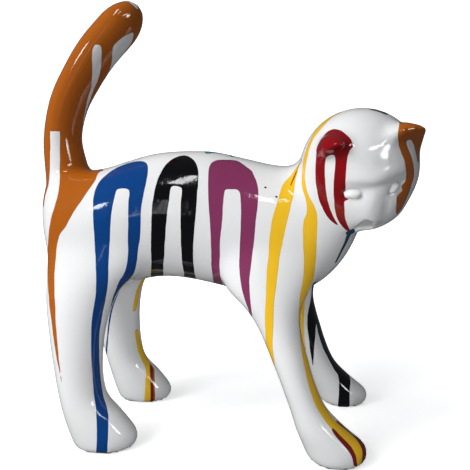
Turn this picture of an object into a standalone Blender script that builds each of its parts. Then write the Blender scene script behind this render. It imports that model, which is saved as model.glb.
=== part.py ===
"""A standing cat, slip-cast in one piece and glazed, with its tail up and its head turned and lowered.

The cat walks along +X, +Z is up, and it looks over its right side, -Y. Its free form is set down
in millimetres on a figure 470 mm tall, and grows or shrinks with HEIGHT.
"""
import math

import bmesh
import bpy
import numpy as np
from mathutils import Matrix, Vector

# Driving sizes, in metres
HEIGHT = 0.470
BODY_WIDTH = 0.116
PAW_WIDTH = 0.044
TAIL_WIDTH = 0.042
HEAD_WIDTH = 0.113

# One millimetre on the figure, and one on its head, whose features all follow the head's width
MM = HEIGHT / 470
HEAD_MM = HEAD_WIDTH / 113

# Trunk, from rump to chest: place along the body, top, underside, share of the body width
TRUNK = [
    (-303, 262, 228, 0.20),
    (-299, 282, 200, 0.46),
    (-289, 292, 168, 0.72),
    (-273, 293, 154, 0.88),
    (-252, 291, 152, 0.96),
    (-228, 293, 155, 1.00),
    (-199, 300, 163, 1.00),
    (-170, 306, 168, 0.97),
    (-140, 307, 166, 0.96),
    (-107, 305, 159, 0.97),
    (-75, 297, 151, 1.00),
    (-42, 288, 147, 1.04),
    (-12, 284, 152, 1.03),
    (14, 281, 168, 0.93),
    (33, 272, 190, 0.72),
    (46, 256, 214, 0.40),
]

# Legs, from sole to hip: height, back edge, front edge, share of the paw width, share of the stance
HIND_LEG = [
    (0, -251, -192, 0.92, 1.00),
    (3, -255, -188, 0.98, 1.00),
    (8, -257, -186, 1.00, 1.00),
    (16, -260, -187, 1.00, 1.00),
    (34, -265, -201, 0.98, 1.00),
    (54, -269, -219, 0.97, 0.98),
    (90, -275, -223, 1.05, 0.92),
    (130, -283, -217, 1.20, 0.81),
    (160, -288, -205, 1.28, 0.69),
    (184, -289, -178, 1.22, 0.61),
    (200, -289, -166, 1.14, 0.57),
    (225, -285, -174, 0.98, 0.53),
    (246, -272, -190, 0.70, 0.50),
]
FRONT_LEG = [
    (0, -6, 40, 0.92, 1.00),
    (3, -10, 44, 0.98, 1.00),
    (8, -13, 46, 1.00, 1.00),
    (16, -16, 44, 1.00, 1.00),
    (32, -22, 25, 0.96, 1.00),
    (56, -29, 5, 0.91, 0.97),
    (104, -47, -10, 1.02, 0.88),
    (140, -66, -14, 1.20, 0.77),
    (166, -92, -1, 1.28, 0.67),
    (200, -98, 12, 1.14, 0.58),
    (225, -84, 6, 0.98, 0.53),
    (246, -66, -6, 0.70, 0.50),
]

# Each leg's stations, how far its paw stands to the left side and how far it is set forward
LEGS = {
    "near hind leg": (HIND_LEG, -62, 0),
    "far hind leg": (HIND_LEG, 51, 0),
    "near front leg": (FRONT_LEG, -62, 0),
    "far front leg": (FRONT_LEG, 63, 14),
}

# Tail, from inside the rump to its end: along, up, half thickness along the body, share of its width
TAIL = [
    (-262, 236, 24, 0.94),
    (-276, 266, 27, 1.10),
    (-281, 296, 24.5, 1.06),
    (-283, 330, 21, 0.98),
    (-273, 366, 21, 1.00),
    (-255, 395, 21.5, 1.03),
    (-235, 420, 22, 1.05),
    (-211, 442, 22, 1.04),
]
TAIL_TIP = (-183, 466)

# Neck, from inside the shoulders up into the skull: place and half thickness
NECK = [
    (-20, 0, 226, 50),
    (0, -6, 240, 48),
    (18, -16, 258, 45),
    (36, -26, 276, 38),
]

# Head: its centre, and how far it is turned aside, lowered and tipped, in degrees
HEAD_CENTRE = (43.5, -28, 279.5)
HEAD_TURN = 80
HEAD_DROP = 45
HEAD_TIP = 6

# Ears: base and tip in the head's frame, the way in space that the hollow faces, width, depth, bluntness
# and the share of the depth that is hollow
EARS = {
    "right ear": ((27, -25, 37), (42, -20, 56), (0.50, -0.20, -0.84), 27, 25, 2.2, 0.5),
    "left ear": ((18, 34, 30), (16, 57, 49), (0.05, -0.29, -0.955), 56, 26, 2.3, 0.2),
}

# How far an ear runs into the skull and toward its tip
EAR_REACH = (-0.5, 0.96)

# Face, in the head's frame: kind of push, its centre, its half sizes and its height
FACE = [
    ("hill", (52, 0, -14), (30, 18, 16), 4.5),
    ("hill", (54, 0, 8), (30, 8, 20), 2.0),
    ("hill", (50, -15, 15), (30, 12, 8), -3.5),
    ("hill", (47, 24, 15), (30, 12, 8), -3.5),
    ("hill", (50, 14, -3), (30, 6, 13), -1.8),
    ("dome", (50, -15.8, 14.8), (14, 8.5, 4.8), 3.5),
    ("dome", (48, 22.6, 14.2), (14, 6.5, 4), 2.8),
    ("hill", (52, -3, -26), (30, 9, 6), -3.0),
    ("hill", (46, 8, -37), (30, 20, 9), 5.0),
    ("hill", (46, 29, -28), (30, 16, 13), 5.0),
    ("hill", (48, -20, -28), (30, 16, 14), 3.0),
]

# How far from the head's centre the face's pushes reach, as a share of its width
FACE_REACH = 0.75

# Soft joins: rounds of smoothing, the zone's lower and upper ends and how far each fades
JOIN_ROUNDS = 75
JOIN_LOW = (98, 124)
JOIN_HIGH = (325, 250)
SKIN_ROUNDS = 8
ROUNDS_PER_STEP = 5
SMOOTHING = 0.5

# The neck's own zone, in shares of the head's half width: how far it reaches, and how it closes in behind
NECK_ROUNDS = 30
NECK_REACH = 1.5
NECK_ZONE = (0.1, 0.5)

# Fineness of the skin: the voxel that joins the shapes, and what is kept of it
VOXEL = 2.6
TRIANGLES = 9000
RING_SIDES = 32
STEPS_PER_STATION = 5
SOLE_FLAT = 1.2


def stations_between(stations):
    """The given stations with more between them, on a Catmull-Rom curve."""
    points = np.array(stations, dtype=float)
    ends = np.vstack([2 * points[0] - points[1], points, 2 * points[-1] - points[-2]])
    result = []
    for i in range(len(points) - 1):
        a, b, c, d = ends[i:i + 4]
        for t in np.arange(STEPS_PER_STATION) / STEPS_PER_STATION:
            bend = (2 * a - 5 * b + 4 * c - d) * t ** 2 + (3 * b - a - 3 * c + d) * t ** 3
            result.append((2 * b + (c - a) * t + bend) / 2)
    result.append(points[-1])
    return result


def ring(centre, across, along, half_across, half_along, half_under=None):
    """Points of an ellipse round a centre; half_under, where given, flattens or hollows its second half."""
    points = []
    for i in range(RING_SIDES):
        turn = 2 * math.pi * i / RING_SIDES
        reach = half_along if half_under is None or turn < math.pi else half_under
        points.append(centre + across * (half_across * math.cos(turn)) + along * (reach * math.sin(turn)))
    return points


def loft(name, rings):
    """A closed skin through a row of rings."""
    mesh = bmesh.new()
    rows = [[mesh.verts.new(point) for point in points] for points in rings]
    for low, high in zip(rows, rows[1:]):
        for i in range(RING_SIDES):
            j = (i + 1) % RING_SIDES
            mesh.faces.new((low[i], low[j], high[j], high[i]))
    mesh.faces.new(rows[0])
    mesh.faces.new(rows[-1])
    bmesh.ops.recalc_face_normals(mesh, faces=mesh.faces)
    return new_object(name, mesh)


def new_object(name, mesh):
    data = bpy.data.meshes.new(name)
    mesh.to_mesh(data)
    mesh.free()
    shape = bpy.data.objects.new(name, data)
    bpy.context.scene.collection.objects.link(shape)
    return shape


def trunk():
    rings = []
    for x, top, bottom, width in stations_between(TRUNK):
        centre = Vector((x, 0, (top + bottom) / 2)) * MM
        half_width = width * BODY_WIDTH / 2
        half_height = (top - bottom) / 2 * MM
        rings.append(ring(centre, Vector((0, 1, 0)), Vector((0, 0, 1)), half_width, half_height))
    return loft("trunk", rings)


def leg(name):
    """One leg from its flat sole up into the trunk."""
    stations, aside, forward = LEGS[name]
    hip = stations[-1][0]
    rings = []
    for z, back, front, width, stance in stations_between(stations):
        shift = forward * min(1, 2 * (1 - z / hip))
        centre = Vector(((back + front) / 2 + shift, aside * stance, z)) * MM
        half_length = (front - back) / 2 * MM
        rings.append(ring(centre, Vector((0, 1, 0)), Vector((1, 0, 0)), width * PAW_WIDTH / 2, half_length))
    return loft(name, rings)


def tail():
    """The tail's rings stand square to its curve, and round off over the tip."""
    stations = stations_between(TAIL)
    rings = []
    for i, (x, z, half, width) in enumerate(stations):
        before = stations[max(i - 1, 0)]
        after = stations[min(i + 1, len(stations) - 1)]
        way = Vector((after[0] - before[0], 0, after[1] - before[1])).normalized()
        across = Vector((-way.z, 0, way.x))
        half_width = width * TAIL_WIDTH / 2
        rings.append(ring(Vector((x, 0, z)) * MM, Vector((0, 1, 0)), across, half_width, half * MM))
    end = Vector((x, 0, z))
    reach = Vector((TAIL_TIP[0], 0, TAIL_TIP[1])) - end
    for i in range(1, STEPS_PER_STATION + 2):
        turn = math.pi / 2 * i / (STEPS_PER_STATION + 2)
        size = math.cos(turn)
        centre = (end + reach * math.sin(turn)) * MM
        rings.append(ring(centre, Vector((0, 1, 0)), across, half_width * size, half * MM * size))
    return loft("tail", rings)


def neck():
    stations = stations_between(NECK)
    rings = []
    for i, (x, y, z, half) in enumerate(stations):
        before = stations[max(i - 1, 0)]
        after = stations[min(i + 1, len(stations) - 1)]
        way = Vector(after[:3] - before[:3]).normalized()
        across = way.cross(Vector((0, 1, 0))).normalized()
        rings.append(ring(Vector((x, y, z)) * MM, across, way.cross(across), half * MM, half * MM))
    return loft("neck", rings)


def head_frame():
    """The head's place in space, its axes pointing along the muzzle, to the left side and to the crown."""
    turn, drop, tip = (math.radians(angle) for angle in (HEAD_TURN, HEAD_DROP, HEAD_TIP))
    turned = Matrix.Rotation(-turn, 4, "Z") @ Matrix.Rotation(drop, 4, "Y") @ Matrix.Rotation(tip, 4, "X")
    return Matrix.Translation(Vector(HEAD_CENTRE) * MM) @ turned


def skull():
    mesh = bmesh.new()
    bmesh.ops.create_uvsphere(mesh, u_segments=RING_SIDES, v_segments=RING_SIDES // 2,
                              radius=HEAD_WIDTH / 2, matrix=head_frame())
    return new_object("skull", mesh)


def ear(name):
    """A blunt cone from the crown to its tip, open and hollow on the side that it faces."""
    base, tip, facing, width, depth, bluntness, hollow = EARS[name]
    base, tip = Vector(base), Vector(tip)
    frame = head_frame()
    axis = (tip - base).normalized()
    facing = frame.to_3x3().inverted() @ Vector(facing)
    back = (axis * axis.dot(facing) - facing).normalized()
    across = axis.cross(back)
    rings = []
    for share in np.linspace(*EAR_REACH, 2 * STEPS_PER_STATION):
        size = 1 - max(0, share) ** bluntness
        centre = base.lerp(tip, share)
        points = ring(centre, across, back, width / 2 * size, depth * size, -depth * size * hollow)
        rings.append([frame @ (point * HEAD_MM) for point in points])
    return loft(name, rings)


def one_skin(shapes):
    """The shapes joined to one closed skin, as mesh data."""
    mesh = bmesh.new()
    for shape in shapes:
        mesh.from_mesh(shape.data)
        bpy.data.objects.remove(shape)
    whole = new_object("whole", mesh)
    remesh = whole.modifiers.new("one skin", "REMESH")
    remesh.mode = "VOXEL"
    remesh.voxel_size = VOXEL * MM
    bpy.context.view_layer.update()
    seen = whole.evaluated_get(bpy.context.evaluated_depsgraph_get())
    data = bpy.data.meshes.new_from_object(seen)
    bpy.data.objects.remove(whole)
    return data


def smooth(mesh, rounds, belongs):
    verts = [vert for vert in mesh.verts if belongs(vert.co)]
    for _ in range(rounds):
        bmesh.ops.smooth_vert(mesh, verts=verts, factor=SMOOTHING,
                              use_axis_x=True, use_axis_y=True, use_axis_z=True)


def soften_joins(data):
    """Round off where legs, tail and neck meet the trunk, in zones that close in step by step."""
    centre = Vector(HEAD_CENTRE) * MM
    radius = HEAD_WIDTH / 2
    muzzle = head_frame().to_3x3() @ Vector((1, 0, 0))
    mesh = bmesh.new()
    mesh.from_mesh(data)
    steps = JOIN_ROUNDS // ROUNDS_PER_STEP
    for share in np.linspace(0, 1, steps):
        low = (JOIN_LOW[0] + (JOIN_LOW[1] - JOIN_LOW[0]) * share) * MM
        high = (JOIN_HIGH[0] + (JOIN_HIGH[1] - JOIN_HIGH[0]) * share) * MM
        smooth(mesh, ROUNDS_PER_STEP, lambda p: low < p.z < high and (p - centre).length > radius)
    reach = NECK_REACH * radius
    for share in np.linspace(*NECK_ZONE, NECK_ROUNDS // ROUNDS_PER_STEP):
        smooth(mesh, ROUNDS_PER_STEP,
               lambda p: (p - centre).length < reach and (p - centre).dot(muzzle) < -share * radius)
    smooth(mesh, SKIN_ROUNDS, lambda p: True)
    mesh.to_mesh(data)
    mesh.free()


def carve_face(data):
    """Muzzle, sockets, eyes, mouth and chin, pushed out from or into the skull."""
    frame = head_frame()
    inverse = frame.inverted()
    for vertex in data.vertices:
        point = inverse @ vertex.co / HEAD_MM
        if point.length > FACE_REACH * HEAD_WIDTH / HEAD_MM:
            continue
        push = 0
        for kind, centre, half, height in FACE:
            reach = sum(((p - c) / h) ** 2 for p, c, h in zip(point, centre, half))
            push += height * (math.exp(-reach) if kind == "hill" else math.sqrt(max(0, 1 - reach)))
        vertex.co = frame @ ((point + point.normalized() * push) * HEAD_MM)


def stand_on_floor(data):
    """Flatten the soles at the lowest level and put the origin under the middle of the figure."""
    for vertex in data.vertices:
        if vertex.co.z < SOLE_FLAT * MM:
            vertex.co.z = 0
    corners = np.array([vertex.co for vertex in data.vertices])
    low, high = corners.min(axis=0), corners.max(axis=0)
    data.transform(Matrix.Translation((-(low[0] + high[0]) / 2, -(low[1] + high[1]) / 2, 0)))


def white_glaze():
    material = bpy.data.materials.new("white glaze")
    material.use_nodes = True
    shader = material.node_tree.nodes["Principled BSDF"]
    shader.inputs["Base Color"].default_value = (0.85, 0.85, 0.84, 1)
    shader.inputs["Roughness"].default_value = 0.08
    shader.inputs["Metallic"].default_value = 0
    return material


def build():
    for old in list(bpy.data.objects):
        bpy.data.objects.remove(old)
    shapes = [trunk(), tail(), neck(), skull()]
    shapes += [leg(name) for name in LEGS]
    shapes += [ear(name) for name in EARS]
    data = one_skin(shapes)
    soften_joins(data)
    carve_face(data)
    stand_on_floor(data)
    data.materials.clear()
    data.materials.append(white_glaze())
    data.shade_smooth()
    cat = bpy.data.objects.new("cat", data)
    group = bpy.data.collections.new("ceramic cat statue")
    bpy.context.scene.collection.children.link(group)
    group.objects.link(cat)
    fewer = cat.modifiers.new("fewer faces", "DECIMATE")
    fewer.ratio = TRIANGLES / (2 * len(data.polygons))


build()
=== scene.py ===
import math

import bpy
import numpy as np
from mathutils import Matrix, Vector
from mathutils.bvhtree import BVHTree


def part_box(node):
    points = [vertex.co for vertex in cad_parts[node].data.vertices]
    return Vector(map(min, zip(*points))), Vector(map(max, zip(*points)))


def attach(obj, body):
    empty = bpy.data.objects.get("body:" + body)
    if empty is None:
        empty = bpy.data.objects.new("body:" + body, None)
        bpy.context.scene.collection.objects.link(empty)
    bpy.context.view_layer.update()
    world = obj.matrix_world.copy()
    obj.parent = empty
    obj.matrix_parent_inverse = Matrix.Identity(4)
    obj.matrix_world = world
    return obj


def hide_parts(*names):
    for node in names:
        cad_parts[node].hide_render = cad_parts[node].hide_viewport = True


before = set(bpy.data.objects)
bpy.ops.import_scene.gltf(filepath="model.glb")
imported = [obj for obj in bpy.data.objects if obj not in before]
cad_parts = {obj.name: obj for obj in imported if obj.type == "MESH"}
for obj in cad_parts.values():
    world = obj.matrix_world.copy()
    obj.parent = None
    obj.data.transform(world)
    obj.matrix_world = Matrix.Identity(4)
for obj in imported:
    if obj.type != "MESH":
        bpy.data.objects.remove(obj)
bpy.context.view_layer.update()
cat_low, cat_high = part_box("cat")

# The modeller's millimetre: the figure is set down 470 mm tall, from its soles to the end of its tail
FIGURE_HEIGHT = 470
MM = cat_high.z / FIGURE_HEIGHT


# The cast body. One hollow slip-cast piece in earthenware, with trunk, legs, tail, neck, head and ears
# luted together while leather hard and sponged over, so that every join runs out in a soft hollow.
# It is put together here from tubes through rings, which are grown into one skin and smoothed.
RING_SIDES = 48
STEPS_PER_STATION = 5
BODY_WIDTH = 116
PAW_WIDTH = 44
TAIL_WIDTH = 42
HEAD_WIDTH = 113
VOXEL = 2.6

# Trunk, from rump to chest: place along the body, top, underside, share of the body width
TRUNK = [
    (-303, 262, 228, 0.20),
    (-299, 282, 200, 0.46),
    (-289, 292, 168, 0.72),
    (-273, 293, 154, 0.88),
    (-252, 291, 152, 0.96),
    (-228, 293, 155, 1.00),
    (-199, 300, 163, 1.00),
    (-170, 306, 168, 0.97),
    (-140, 307, 166, 0.96),
    (-107, 305, 159, 0.97),
    (-75, 297, 151, 1.00),
    (-42, 288, 147, 1.04),
    (-12, 284, 152, 1.03),
    (14, 281, 168, 0.93),
    (33, 272, 190, 0.72),
    (46, 256, 214, 0.40),
]

# Legs, from sole to hip: height, back edge, front edge, share of the paw width, share of the stance
HIND_LEG = [
    (0, -251, -192, 0.92, 1.00),
    (3, -255, -188, 0.98, 1.00),
    (8, -257, -186, 1.00, 1.00),
    (16, -260, -187, 1.00, 1.00),
    (34, -265, -201, 0.98, 1.00),
    (54, -269, -219, 0.97, 0.98),
    (90, -275, -223, 1.05, 0.92),
    (130, -283, -217, 1.20, 0.81),
    (160, -288, -205, 1.28, 0.69),
    (184, -289, -178, 1.22, 0.61),
    (200, -289, -166, 1.14, 0.57),
    (225, -285, -174, 0.98, 0.53),
    (246, -272, -190, 0.70, 0.50),
]
FRONT_LEG = [
    (0, -6, 40, 0.92, 1.00),
    (3, -10, 44, 0.98, 1.00),
    (8, -13, 46, 1.00, 1.00),
    (16, -16, 44, 1.00, 1.00),
    (32, -22, 25, 0.96, 1.00),
    (56, -29, 5, 0.91, 0.97),
    (104, -47, -10, 1.02, 0.88),
    (140, -66, -14, 1.20, 0.77),
    (166, -92, -1, 1.28, 0.67),
    (200, -98, 12, 1.14, 0.58),
    (225, -84, 6, 0.98, 0.53),
    (246, -66, -6, 0.70, 0.50),
]

# Each leg's stations, how far its paw stands to the left side and how far it is set forward
LEGS = {
    "near hind leg": (HIND_LEG, -62, 0),
    "far hind leg": (HIND_LEG, 51, 0),
    "near front leg": (FRONT_LEG, -62, 0),
    "far front leg": (FRONT_LEG, 63, 14),
}

# Tail, from inside the rump to its end: along, up, half thickness along the body, share of its width
TAIL = [
    (-262, 236, 24, 0.94),
    (-276, 266, 27, 1.10),
    (-281, 296, 24.5, 1.06),
    (-283, 330, 21, 0.98),
    (-273, 366, 21, 1.00),
    (-255, 395, 21.5, 1.03),
    (-235, 420, 22, 1.05),
    (-211, 442, 22, 1.04),
]
TAIL_TIP = (-183, 466)

# Neck, from inside the shoulders up into the skull: place and half thickness
NECK = [
    (-20, 0, 226, 50),
    (0, -6, 240, 48),
    (18, -16, 258, 45),
    (36, -26, 276, 38),
]

# Head: its centre, and how far it is turned aside, lowered and tipped, in degrees
HEAD_CENTRE = (43.5, -28, 279.5)
HEAD_TURN = 80
HEAD_DROP = 45
HEAD_TIP = 6

# Ears: base and tip in the head's frame, the way in space that the hollow faces, width, depth, bluntness
# and the share of the depth that is hollow
EARS = {
    "right ear": ((27, -25, 37), (42, -20, 56), (0.50, -0.20, -0.84), 27, 25, 2.2, 0.5),
    "left ear": ((18, 34, 30), (16, 57, 49), (0.05, -0.29, -0.955), 56, 26, 2.3, 0.2),
}
EAR_REACH = (-0.5, 0.96)

turned_head = (Matrix.Rotation(-math.radians(HEAD_TURN), 4, "Z")
               @ Matrix.Rotation(math.radians(HEAD_DROP), 4, "Y")
               @ Matrix.Rotation(math.radians(HEAD_TIP), 4, "X"))
head_frame = Matrix.Translation(HEAD_CENTRE) @ turned_head
side = Vector((0, 1, 0))


def stations_between(stations, closed=False):
    """The given stations with more between them, on a Catmull-Rom curve."""
    points = np.array(stations, dtype=float)
    if closed:
        ends = np.vstack([points[-1], points, points[0], points[1]])
    else:
        ends = np.vstack([2 * points[0] - points[1], points, 2 * points[-1] - points[-2]])
    result = []
    for a, b, c, d in zip(ends, ends[1:], ends[2:], ends[3:]):
        for t in np.arange(STEPS_PER_STATION) / STEPS_PER_STATION:
            second = 2 * a - 5 * b + 4 * c - d
            third = 3 * (b - c) - a + d
            result.append((2 * b + (c - a) * t + second * t ** 2 + third * t ** 3) / 2)
    if not closed:
        result.append(points[-1])
    return result


def tube(name, rings, fold=1):
    """A closed tube: a disc is extruded once for each ring, then each ring goes to its centre and half axes.

    fold flattens the rings' second half, or below zero turns it inward as the hollow of an ear.
    """
    bpy.ops.object.select_all(action="DESELECT")
    bpy.ops.mesh.primitive_circle_add(vertices=RING_SIDES, radius=1, fill_type="NGON")
    shape = bpy.context.object
    shape.name = name
    bpy.ops.object.mode_set(mode="EDIT")
    bpy.ops.mesh.select_all(action="SELECT")
    for _ in rings[1:]:
        bpy.ops.mesh.extrude_region_move(TRANSFORM_OT_translate={"value": (0, 0, 1)})
    bpy.ops.object.mode_set(mode="OBJECT")
    for vertex in shape.data.vertices:
        centre, across, along = rings[round(vertex.co.z)]
        y = vertex.co.y if vertex.co.y > 0 else vertex.co.y * fold
        vertex.co = (centre + across * vertex.co.x + along * y) * MM
    bpy.ops.object.mode_set(mode="EDIT")
    bpy.ops.mesh.select_all(action="SELECT")
    bpy.ops.mesh.normals_make_consistent(inside=False)
    bpy.ops.object.mode_set(mode="OBJECT")
    return shape


def rings_along(path, half_across, half_along):
    """Rings that stand square to a path, given its points and the half sizes at each."""
    rings = []
    for i, point in enumerate(path):
        way = (path[min(i + 1, len(path) - 1)] - path[max(i - 1, 0)]).normalized()
        along = way.cross(side).normalized()
        rings.append((point, way.cross(along) * half_across[i], along * half_along[i]))
    return rings


trunk_rings = []
for x, top, bottom, width in stations_between(TRUNK):
    middle = Vector((x, 0, (top + bottom) / 2))
    trunk_rings.append((middle, side * width * BODY_WIDTH / 2, Vector((0, 0, (top - bottom) / 2))))
shapes = [tube("trunk", trunk_rings)]

for name, (stations, aside, forward) in LEGS.items():
    hip = stations[-1][0]
    leg_rings = []
    for z, back, front, width, stance in stations_between(stations):
        set_forward = forward * min(1, 2 * (1 - z / hip))
        middle = Vector(((back + front) / 2 + set_forward, aside * stance, z))
        leg_rings.append((middle, side * width * PAW_WIDTH / 2, Vector(((front - back) / 2, 0, 0))))
    shapes.append(tube(name, leg_rings))

tail_stations = stations_between(TAIL)
tail_path = [Vector((x, 0, z)) for x, z, half, width in tail_stations]
tail_rings = rings_along(tail_path, [station[3] * TAIL_WIDTH / 2 for station in tail_stations],
                         [station[2] for station in tail_stations])
end, across, along = tail_rings[-1]
reach = Vector((TAIL_TIP[0], 0, TAIL_TIP[1])) - end
for i in range(1, STEPS_PER_STATION + 2):
    turn = math.pi / 2 * i / (STEPS_PER_STATION + 2)
    tail_rings.append((end + reach * math.sin(turn), across * math.cos(turn), along * math.cos(turn)))
shapes.append(tube("tail", tail_rings))

neck_stations = stations_between(NECK)
neck_path = [Vector(station[:3]) for station in neck_stations]
neck_halves = [station[3] for station in neck_stations]
shapes.append(tube("neck", rings_along(neck_path, neck_halves, neck_halves)))

HEAD_SIDES = 64
bpy.ops.object.select_all(action="DESELECT")
bpy.ops.mesh.primitive_uv_sphere_add(segments=HEAD_SIDES, ring_count=HEAD_SIDES // 2,
                                     radius=HEAD_WIDTH / 2 * MM, location=Vector(HEAD_CENTRE) * MM)
bpy.ops.object.transform_apply(location=True, rotation=True, scale=True)
shapes.append(bpy.context.object)

for name, (base, tip, facing, width, depth, bluntness, hollow) in EARS.items():
    base, tip = Vector(base), Vector(tip)
    axis = (tip - base).normalized()
    facing = turned_head.to_3x3().inverted() @ Vector(facing)
    back = (axis * axis.dot(facing) - facing).normalized()
    ear_rings = []
    for share in np.linspace(*EAR_REACH, 3 * STEPS_PER_STATION):
        size = 1 - max(0, share) ** bluntness
        ear_rings.append((head_frame @ base.lerp(tip, share),
                          turned_head.to_3x3() @ axis.cross(back) * width / 2 * size,
                          turned_head.to_3x3() @ back * depth * size))
    shapes.append(tube(name, ear_rings, fold=-hollow))

bpy.ops.object.select_all(action="DESELECT")
for shape in shapes:
    shape.select_set(True)
bpy.context.view_layer.objects.active = shapes[0]
bpy.ops.object.join()
cat = bpy.context.object
cat.name = "glazed_cat"


def one_skin(voxel):
    """Draw the skin anew, in faces of one size."""
    remesh = cat.modifiers.new("one skin", "REMESH")
    remesh.mode = "VOXEL"
    remesh.voxel_size = voxel * MM
    bpy.ops.object.modifier_apply(modifier=remesh.name)


one_skin(VOXEL)


def corners(mesh):
    """The mesh's points in the modeller's millimetres, a row each."""
    co = np.empty(len(mesh.vertices) * 3)
    mesh.vertices.foreach_get("co", co)
    return co.reshape(-1, 3) / MM


SPONGE_STRENGTH = 0.5
WEIGHT_LEVELS = 20


def sponge(name, rounds, weights):
    """Smooth the skin, as far at each point as its weight says."""
    group = cat.vertex_groups.new(name=name)
    levels = np.round(weights * WEIGHT_LEVELS).astype(int)
    for level in range(1, WEIGHT_LEVELS + 1):
        group.add(np.flatnonzero(levels == level).tolist(), level / WEIGHT_LEVELS, "REPLACE")
    smoothing = cat.modifiers.new(name, "SMOOTH")
    smoothing.factor = SPONGE_STRENGTH
    smoothing.iterations = rounds
    smoothing.vertex_group = group.name
    bpy.ops.object.modifier_apply(modifier=smoothing.name)
    cat.vertex_groups.clear()


def finer_skin(wanted):
    """Halve the faces whose middles, in the modeller's millimetres, are wanted."""
    middles = np.empty(len(cat.data.polygons) * 3)
    cat.data.polygons.foreach_get("center", middles)
    bpy.ops.object.mode_set(mode="EDIT")
    bpy.ops.mesh.select_mode(type="FACE")
    bpy.ops.mesh.select_all(action="DESELECT")
    bpy.ops.object.mode_set(mode="OBJECT")
    cat.data.polygons.foreach_set("select", wanted(middles.reshape(-1, 3) / MM))
    bpy.ops.object.mode_set(mode="EDIT")
    bpy.ops.mesh.subdivide(number_cuts=1)
    bpy.ops.object.mode_set(mode="OBJECT")


# Rounds of sponging: the joins of legs and tail with the trunk, the neck, and all of the skin. The joins are
# between two heights, and the neck is behind the face and close to the head, in halves of the head's width
JOIN_ROUNDS = 75
JOIN_LOW = (98, 124)
JOIN_HIGH = (250, 325)
NECK_ROUNDS = 30
NECK_BEHIND = (0.1, 0.5)
NECK_REACH = (1.4, 1.6)
SKIN_ROUNDS = 6
head_centre = np.array(HEAD_CENTRE)
head_axes = np.array(turned_head.to_3x3())

points = corners(cat.data)
from_head = np.linalg.norm(points - head_centre, axis=1)
rising = np.interp(points[:, 2], JOIN_LOW, (0, 1))
falling = np.interp(points[:, 2], JOIN_HIGH, (1, 0))
sponge("joins", JOIN_ROUNDS, rising * falling * (from_head > HEAD_WIDTH / 2))
points = corners(cat.data)
behind_face = -((points - head_centre) @ head_axes)[:, 0] / (HEAD_WIDTH / 2)
from_head = np.linalg.norm(points - head_centre, axis=1) / (HEAD_WIDTH / 2)
behind = np.interp(behind_face, NECK_BEHIND, (0, 1))
close = np.interp(from_head, NECK_REACH, (1, 0))
sponge("neck", NECK_ROUNDS, behind * close)
sponge("skin", SKIN_ROUNDS, np.ones(len(cat.data.vertices)))

# The sponged skin is drawn again in larger faces, and the face and the ears then get a finer skin. The hollow
# where the right ear meets the skull is filled, and the front of the face gets a finer skin again
LARGER_VOXEL = 3.35
SETTLING_ROUNDS = 2
LAST_ROUNDS = 5
EAR_ROOT = (18, -24, 49)
EAR_ROOT_REACH = (6, 15)
EAR_ROOT_ROUNDS = 160
HEAD_REACH = 90
FACE_FROM = 2
FRONT_FROM = 38
FRONT_SIDES = (-32, 36)
FRONT_HEIGHT = -6
FRONT_HALF_HEIGHT = 34
one_skin(LARGER_VOXEL)
sponge("larger faces", SETTLING_ROUNDS, np.ones(len(cat.data.vertices)))


def by_head(middles):
    """Places in the head's frame, and which of them are near the head."""
    places = (middles - head_centre) @ head_axes
    return places, np.linalg.norm(places, axis=1) < HEAD_REACH


def face_and_ears(middles):
    places, near = by_head(middles)
    return near & (places[:, 0] > FACE_FROM)


def front_of_face(middles):
    places, near = by_head(middles)
    beside = (places[:, 1] > FRONT_SIDES[0]) & (places[:, 1] < FRONT_SIDES[1])
    level = abs(places[:, 2] - FRONT_HEIGHT) < FRONT_HALF_HEIGHT
    return near & (places[:, 0] > FRONT_FROM) & beside & level


finer_skin(face_and_ears)
sponge("last skin", LAST_ROUNDS, by_head(corners(cat.data))[1].astype(float))
from_root = np.linalg.norm(by_head(corners(cat.data))[0] - np.array(EAR_ROOT), axis=1)
sponge("root of the right ear", EAR_ROOT_ROUNDS, np.interp(from_root, EAR_ROOT_REACH, (1, 0)))
finer_skin(front_of_face)
sponge("face", SETTLING_ROUNDS, by_head(corners(cat.data))[1].astype(float))

# Face, in the head's frame: hills and hollows pressed in the clay, each with its centre, half sizes and
# height. Nothing further from the head's centre than the limit is pressed
FACE = {
    "muzzle": ((52, 0, -14), (30, 18, 16), 4.5),
    "bridge of the nose": ((54, 0, 8), (30, 8, 20), 0.8),
    "right eye's hollow": ((50, -15, 15), (30, 12, 8), -3.5),
    "left eye's hollow": ((47, 24, 15), (30, 12, 8), -3.5),
    "left side of the nose": ((50, 14, -3), (30, 6, 13), -1.8),
    "hollow under the brow": ((52, 5, 21.5), (30, 20, 4.5), -1.8),
    "brow": ((46, 3, 29.5), (30, 30, 5), 1.6),
    "chin": ((46, 8, -37), (30, 20, 9), 5.0),
    "left cheek": ((46, 29, -28), (30, 16, 13), 3.8),
    "right cheek": ((48, -20, -28), (30, 16, 14), 3.0),
    "right eye's upper corner": ((46.5, -23.8, 16.8), (30, 3.4, 1.3), -2.4),
    "right eye's lower corner": ((49, -21.2, 10.0), (30, 3.4, 1.4), -2.4),
    "left eye's corner": ((44.7, 29.5, 17.6), (30, 3.2, 1.2), -2.0),
}
FACE_LIMIT = 0.75 * HEAD_WIDTH

# Eyes: closed almonds with a crease round them. Centre, half sizes, height and slant
EYES = {
    "right eye": ((50, -16.3, 14.6), (14, 7.6, 4.4), 3.8, 0.06),
    "left eye": ((48, 22.6, 14.2), (14, 5.6, 3.5), 2.8, 0.30),
}
EYE_FALL = 0.75
CREASE_REACH = 1.16
CREASE_WIDTH = 0.17
CREASE_DEPTH = 1.7

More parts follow.
